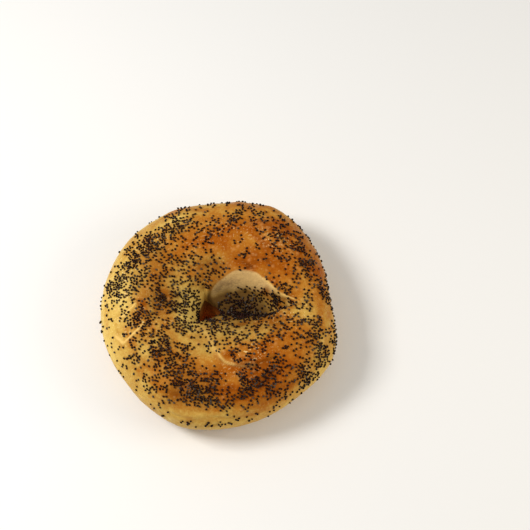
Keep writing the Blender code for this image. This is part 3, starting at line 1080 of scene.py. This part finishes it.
def scatter_seeds(points, quads, areas, density):
    """Seeds in short strings and clumps, as they stick to wet dough."""
    draw = np.random.default_rng(seed=7)
    bed = SeedBed(points, quads)
    weight = areas * density
    crowd = np.clip(density, 0.0, 1.0)
    starts = draw.choice(len(points), size=SEED_TRIES * SEED_COUNT, p=weight / weight.sum())
    for start in starts.tolist():
        if len(bed.seeds) >= SEED_COUNT:
            break
        spot = Vector(points[start])
        heading = draw.uniform(0.0, math.tau)
        run = 1 + min(int(draw.exponential(STRING_MEAN)), STRING_MOST)
        for _ in range(run):
            pile = draw.uniform() < SEED_PILE_CHANCE * crowd[start]
            at, normal = bed.place(spot, pile)
            heading += draw.normal() * STRING_BEND
            east = normal.orthogonal().normalized()
            north = normal.cross(east)
            step = draw.uniform(*SEED_STEP)
            spot = at + step * (math.cos(heading) * east + math.sin(heading) * north)
    return bed.seeds[:SEED_COUNT]


def seed_stain_and_shade(points, seeds):
    """1 under the seeds, falling to 0 at a set reach from them: partly a real stain, partly painted
    contact shade.
    """
    tree = KDTree(len(points))
    for index, point in enumerate(points.tolist()):
        tree.insert(point, index)
    tree.balance()
    amount = np.zeros(len(points))
    for spot, _ in seeds:
        for _, index, gap in tree.find_range(spot, SEED_STAIN_AND_SHADE_REACH):
            amount[index] = max(amount[index], 1.0 - gap / SEED_STAIN_AND_SHADE_REACH)
    return smoothstep(amount)


def seed_shape(notch, taper):
    """One kidney-shaped seed round the origin: its points and triangles."""
    ball = bmesh.new()
    bmesh.ops.create_icosphere(ball, subdivisions=2, radius=0.5)
    ball.verts.ensure_lookup_table()
    points = np.array([vertex.co[:] for vertex in ball.verts])
    triangles = np.array([[vertex.index for vertex in face.verts] for face in ball.faces])
    ball.free()
    x, y, z = points.T
    inward = notch * np.exp(-((x / NOTCH_WIDTH) ** 2)) * fade_in(y, *NOTCH_SIDE)
    y = y * (1.0 - taper * x) - inward + 0.5 * notch * (1.0 - 4.0 * x * x)
    z = z * (1.0 - THICKNESS_TAPER * taper * x)
    return np.stack([x * SEED_LENGTH, y * SEED_WIDTH, z * SEED_THICKNESS], axis=-1), triangles


def seed_mesh(name, seeds, draw):
    """One mesh of many seeds, each turned its own way and lying on the crust."""
    shapes = [seed_shape(notch, taper) for notch, taper in SEED_SHAPES]
    corners, faces, shades = [], [], []
    count = 0
    for spot, normal in seeds:
        shape, triangles = shapes[draw.integers(len(shapes))]
        tilt = Vector(draw.normal(size=3) * SEED_TILT)
        up = (normal + tilt).normalized()
        east = up.orthogonal().normalized()
        north = up.cross(east)
        turned = draw.uniform(0.0, math.tau)
        length = math.cos(turned) * east + math.sin(turned) * north
        axes = np.array([length, up.cross(length), up])
        size = draw.uniform(*SEED_SIZES)
        middle = np.array(spot) + np.array(normal) * (0.5 - SEED_SUNK) * SEED_THICKNESS * size
        corners.append(size * shape @ axes + middle)
        faces.append(triangles + count)
        shades.append(np.full(len(shape), draw.uniform()))
        count += len(shape)
    mesh = new_mesh(name, np.concatenate(corners), np.concatenate(faces))
    set_attribute(mesh, "shade", np.concatenate(shades))
    return mesh


def new_mesh(name, points, faces):
    """A mesh in metres from points in the part's own millimetres, moved over the origin."""
    placed = (points - (*outline_middle(), 0.0)) * MM
    mesh = bpy.data.meshes.new(name)
    mesh.from_pydata(placed.tolist(), [], faces.tolist())
    mesh.validate()
    mesh.shade_smooth()
    return mesh


def new_object(name, data, material=None):
    thing = bpy.data.objects.new(name, data)
    bpy.context.scene.collection.objects.link(thing)
    if material:
        data.materials.append(material)
    return thing


def set_attribute(mesh, name, values):
    attribute = mesh.attributes.new(name, "FLOAT", "POINT")
    attribute.data.foreach_set("value", np.asarray(values, dtype=np.float32))


def linear(colour):
    """A colour of 0 to 255 as seen on a screen, in linear light, by the sRGB formula."""
    share = np.array(colour) / 255.0
    value = np.where(share <= 0.04045, share / 12.92, ((share + 0.055) / 1.055) ** 2.4)
    return (*value.tolist(), 1.0)


class Nodes:
    """Shorthand for building a material's nodes."""

    def __init__(self, name):
        self.material = bpy.data.materials.new(name)
        self.material.use_nodes = True
        self.tree = self.material.node_tree
        self.inputs = self.tree.nodes["Principled BSDF"].inputs

    def new(self, kind, **settings):
        node = self.tree.nodes.new("ShaderNode" + kind)
        for key, value in settings.items():
            setattr(node, key, value)
        return node

    def feed(self, socket, value):
        if isinstance(value, bpy.types.NodeSocket):
            self.tree.links.new(value, socket)
        else:
            socket.default_value = value

    def attribute(self, name):
        return self.new("Attribute", attribute_name=name).outputs["Fac"]

    def math(self, operation, *values):
        node = self.new("Math", operation=operation)
        for socket, value in zip(node.inputs, values):
            self.feed(socket, value)
        return node.outputs[0]

    def mix(self, factor, a, b, blend="MIX"):
        node = self.new("Mix", data_type="RGBA", blend_type=blend)
        for index, value in zip(MIX_INPUTS, (factor, a, b)):
            self.feed(node.inputs[index], value)
        return node.outputs[MIX_OUTPUT]

    def remap(self, value, low, high, to_low=0.0, to_high=1.0):
        node = self.new("MapRange", interpolation_type="SMOOTHSTEP")
        for socket, number in zip(node.inputs, (value, low, high, to_low, to_high)):
            self.feed(socket, number)
        return node.outputs[0]

    def noise(self, length_mm, detail=3.0, roughness=0.5, distortion=0.0):
        node = self.new("TexNoise")
        self.feed(node.inputs["Vector"], self.new("TexCoord").outputs["Object"])
        node.inputs["Scale"].default_value = 1.0 / (length_mm * MM)
        node.inputs["Detail"].default_value = detail
        node.inputs["Roughness"].default_value = roughness
        node.inputs["Distortion"].default_value = distortion
        return node.outputs["Fac"]

    def ramp(self, factor, stops):
        node = self.new("ValToRGB")
        elements = node.color_ramp.elements
        while len(elements) < len(stops):
            elements.new(0.5)
        for element, (position, colour) in zip(elements, stops):
            element.position = position
            element.color = linear(colour)
        self.feed(node.inputs[0], factor)
        return node.outputs[0]

    def bump(self, grit, distance_mm, strength, normal=None):
        node = self.new("Bump")
        node.inputs["Strength"].default_value = strength
        node.inputs["Distance"].default_value = distance_mm * MM
        self.feed(node.inputs["Height"], self.noise(*grit))
        if normal:
            self.feed(node.inputs["Normal"], normal)
        return node.outputs[0]


def crust_colour(nodes):
    """Browning in mottles, then what lies over it, each look by its share. Some looks are painted shade,
    light, highlights and glints.
    """
    level = nodes.attribute("toast")
    for length_mm, spread in MOTTLES:
        level = nodes.math("MULTIPLY_ADD", nodes.noise(length_mm, *MOTTLE_DETAIL), spread, level)
        level = nodes.math("ADD", level, -0.5 * spread)
    colour = nodes.ramp(level, CRUST_STOPS)
    # Darkens the duller dough, partly as painted shade
    colour = nodes.mix(nodes.attribute("dull_and_shade"), colour, (*DULL_AND_SHADE_COLOUR, 1.0), "MULTIPLY")
    # Pale flecks: partly flour and dry skin, partly painted glints
    speck_and_glint = nodes.remap(nodes.noise(*SPECK_NOISE), *SPECK_RANGE)
    speck_and_glint = nodes.math("MULTIPLY", speck_and_glint, nodes.attribute("fleck_and_glint"))
    colour = nodes.mix(speck_and_glint, colour, linear(SPECK_AND_GLINT))
    crumb = nodes.math("MULTIPLY_ADD", nodes.noise(*CRUMB_NOISE), CRUMB_SHARE, nodes.noise(*CRUMB_CLOUDS))
    # Painted light: the torn wall's colour is lighter towards its right end
    crumb = nodes.math("MULTIPLY_ADD", nodes.attribute("bare_painted_light"), CRUMB_PAINTED_LIGHT_SHARE, crumb)
    crumb = nodes.remap(crumb, *CRUMB_RANGE)
    # Painted shade and light among these: the funnel's paint, the dark top of the deep paint, the bare
    # paint's right end, and parts of the ridge and blister paints
    paints = {
        "blister_pale_and_glint": linear(BLISTER_PALE_AND_GLINT),
        "ridge": linear(RIDGE_HIGHLIGHT),
        "bare": nodes.mix(crumb, linear(BARE_DOUGH_DARK), linear(BARE_DOUGH)),
        "funnel_painted_shade": linear(HOLLOW_PAINTED_SHADE),
        "deep": nodes.mix(nodes.attribute("hole_rim_painted_shade"), linear(DEEP_DOUGH), linear(DEEP_PAINTED_SHADE)),
    }
    for look, paint in paints.items():
        amount = nodes.math("MULTIPLY", nodes.attribute(look), PAINT_SHARES[look])
        colour = nodes.mix(amount, colour, paint)
    # Darkening round seeds: partly a real stain, partly painted contact shade
    stained_and_shaded = nodes.math("MULTIPLY", nodes.attribute("seed_stain_and_shade"), SEED_STAIN_AND_SHADE_SHARE)
    return nodes.mix(stained_and_shaded, colour, (*SEED_STAIN_AND_SHADE, 1.0), "MULTIPLY")


def crust_material():
    nodes = Nodes("crust")
    nodes.feed(nodes.inputs["Base Color"], crust_colour(nodes))
    roughness = nodes.remap(nodes.noise(*SHEEN_NOISE), *SHEEN_RANGE)
    roughness = nodes.math("MULTIPLY_ADD", nodes.attribute("bare"), BARE_ROUGHER, roughness)
    nodes.feed(nodes.inputs["Roughness"], roughness)
    nodes.inputs["Specular IOR Level"].default_value = CRUST_SPECULAR
    nodes.inputs["Specular Tint"].default_value = CRUST_SPECULAR_TINT
    nodes.feed(nodes.inputs["Normal"], nodes.bump(*FINE_BUMP, nodes.bump(*COARSE_BUMP)))
    return nodes.material


def seed_material(kind):
    nodes = Nodes(kind.name)
    shade = nodes.math(
        "MULTIPLY_ADD", nodes.noise(*SEED_NOISE), SEED_NOISE_SHARE, nodes.attribute("shade")
    )
    shade = nodes.remap(shade, *SEED_SHADE_RANGE)
    nodes.feed(nodes.inputs["Base Color"], nodes.mix(shade, linear(kind.dark), linear(kind.light)))
    roughness = nodes.remap(nodes.noise(*SEED_SHEEN_NOISE), *SEED_SHEEN_RANGE)
    nodes.feed(nodes.inputs["Roughness"], roughness)
    nodes.inputs["Specular IOR Level"].default_value = SEED_SPECULAR
    nodes.feed(nodes.inputs["Normal"], nodes.bump(*SEED_BUMP))
    return nodes.material


def make_seeds(seeds):
    """The seeds in one piece for each kind."""
    draw = np.random.default_rng(seed=31)
    kind_of = draw.choice(len(SEED_KINDS), size=len(seeds), p=[kind.share for kind in SEED_KINDS])
    for number, kind in enumerate(SEED_KINDS):
        chosen = [seed for seed, which in zip(seeds, kind_of) if which == number]
        piece = new_object(kind.name, seed_mesh(kind.name, chosen, draw), seed_material(kind))
        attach(piece, "root")


def make_floor():
    mesh = bpy.data.meshes.new("table")
    corners = [(-1, -1), (1, -1), (1, 1), (-1, 1)]
    mesh.from_pydata([(TABLE_HALF * x, TABLE_HALF * y, 0.0) for x, y in corners], [], [(0, 1, 2, 3)])
    nodes = Nodes("table")
    nodes.inputs["Base Color"].default_value = TABLE_COLOUR
    nodes.inputs["Roughness"].default_value = TABLE_ROUGHNESS
    new_object("table", mesh, nodes.material)


def aim(thing, target):
    thing.rotation_mode = "QUATERNION"
    thing.rotation_quaternion = (Vector(target) - thing.location).to_track_quat("-Z", "Y")


def make_light(light):
    lamp = bpy.data.lights.new(light.name, "AREA")
    lamp.energy = light.watts
    lamp.size = light.size
    lamp.color = light.colour
    thing = new_object(light.name, lamp)
    thing.location = light.at
    aim(thing, LIGHTS_AIM)


def make_lights():
    for light in LIGHTS:
        make_light(light)
    world = bpy.data.worlds.new("studio")
    world.use_nodes = True
    background = world.node_tree.nodes["Background"]
    background.inputs["Color"].default_value = STUDIO_COLOUR
    background.inputs["Strength"].default_value = STUDIO_STRENGTH
    bpy.context.scene.world = world
    bpy.context.scene.view_settings.view_transform = "Standard"


def make_camera():
    """Looks down at the photograph's angle, with the bagel where the photograph has it."""
    elevation = math.radians(VIEW_ELEVATION_DEG)
    middle_x, middle_y = outline_middle()
    centre = Vector((-middle_x, -middle_y, HEIGHT / 2.0)) * MM
    right = Vector((1.0, 0.0, 0.0))
    up = Vector((0.0, math.sin(elevation), math.cos(elevation)))
    back = Vector((0.0, -math.cos(elevation), math.sin(elevation)))
    half = FRAME_PX / 2
    target = centre + METRES_PER_PX * (right * (half - MIDDLE_PX[0]) + up * (MIDDLE_PX[1] - half))
    lens = bpy.data.cameras.new("camera")
    lens.sensor_width = SENSOR_MM
    lens.lens = SENSOR_MM / 2 * VIEW_DISTANCE / (half * METRES_PER_PX)
    camera = new_object("camera", lens)
    camera.location = centre + back * VIEW_DISTANCE
    aim(camera, target)
    bpy.context.scene.camera = camera


grid, looks, density = make_crust()
points = grid.reshape(-1, 3)
quads = grid_quads(*grid.shape[:2])
crust_mesh = new_mesh("bagel_crust", points, quads)
seeds = scatter_seeds(points, quads, grid_areas(grid).ravel(), density)
# Darkening round seeds: partly a real stain, partly painted contact shade
looks["seed_stain_and_shade"] = seed_stain_and_shade(points, seeds)
for look, values in looks.items():
    set_attribute(crust_mesh, look, values)
crust = new_object("bagel_crust", crust_mesh, crust_material())
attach(crust, "root")
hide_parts("bagel")
make_seeds(seeds)
make_floor()
make_lights()
make_camera()
bpy.context.view_layer.update()
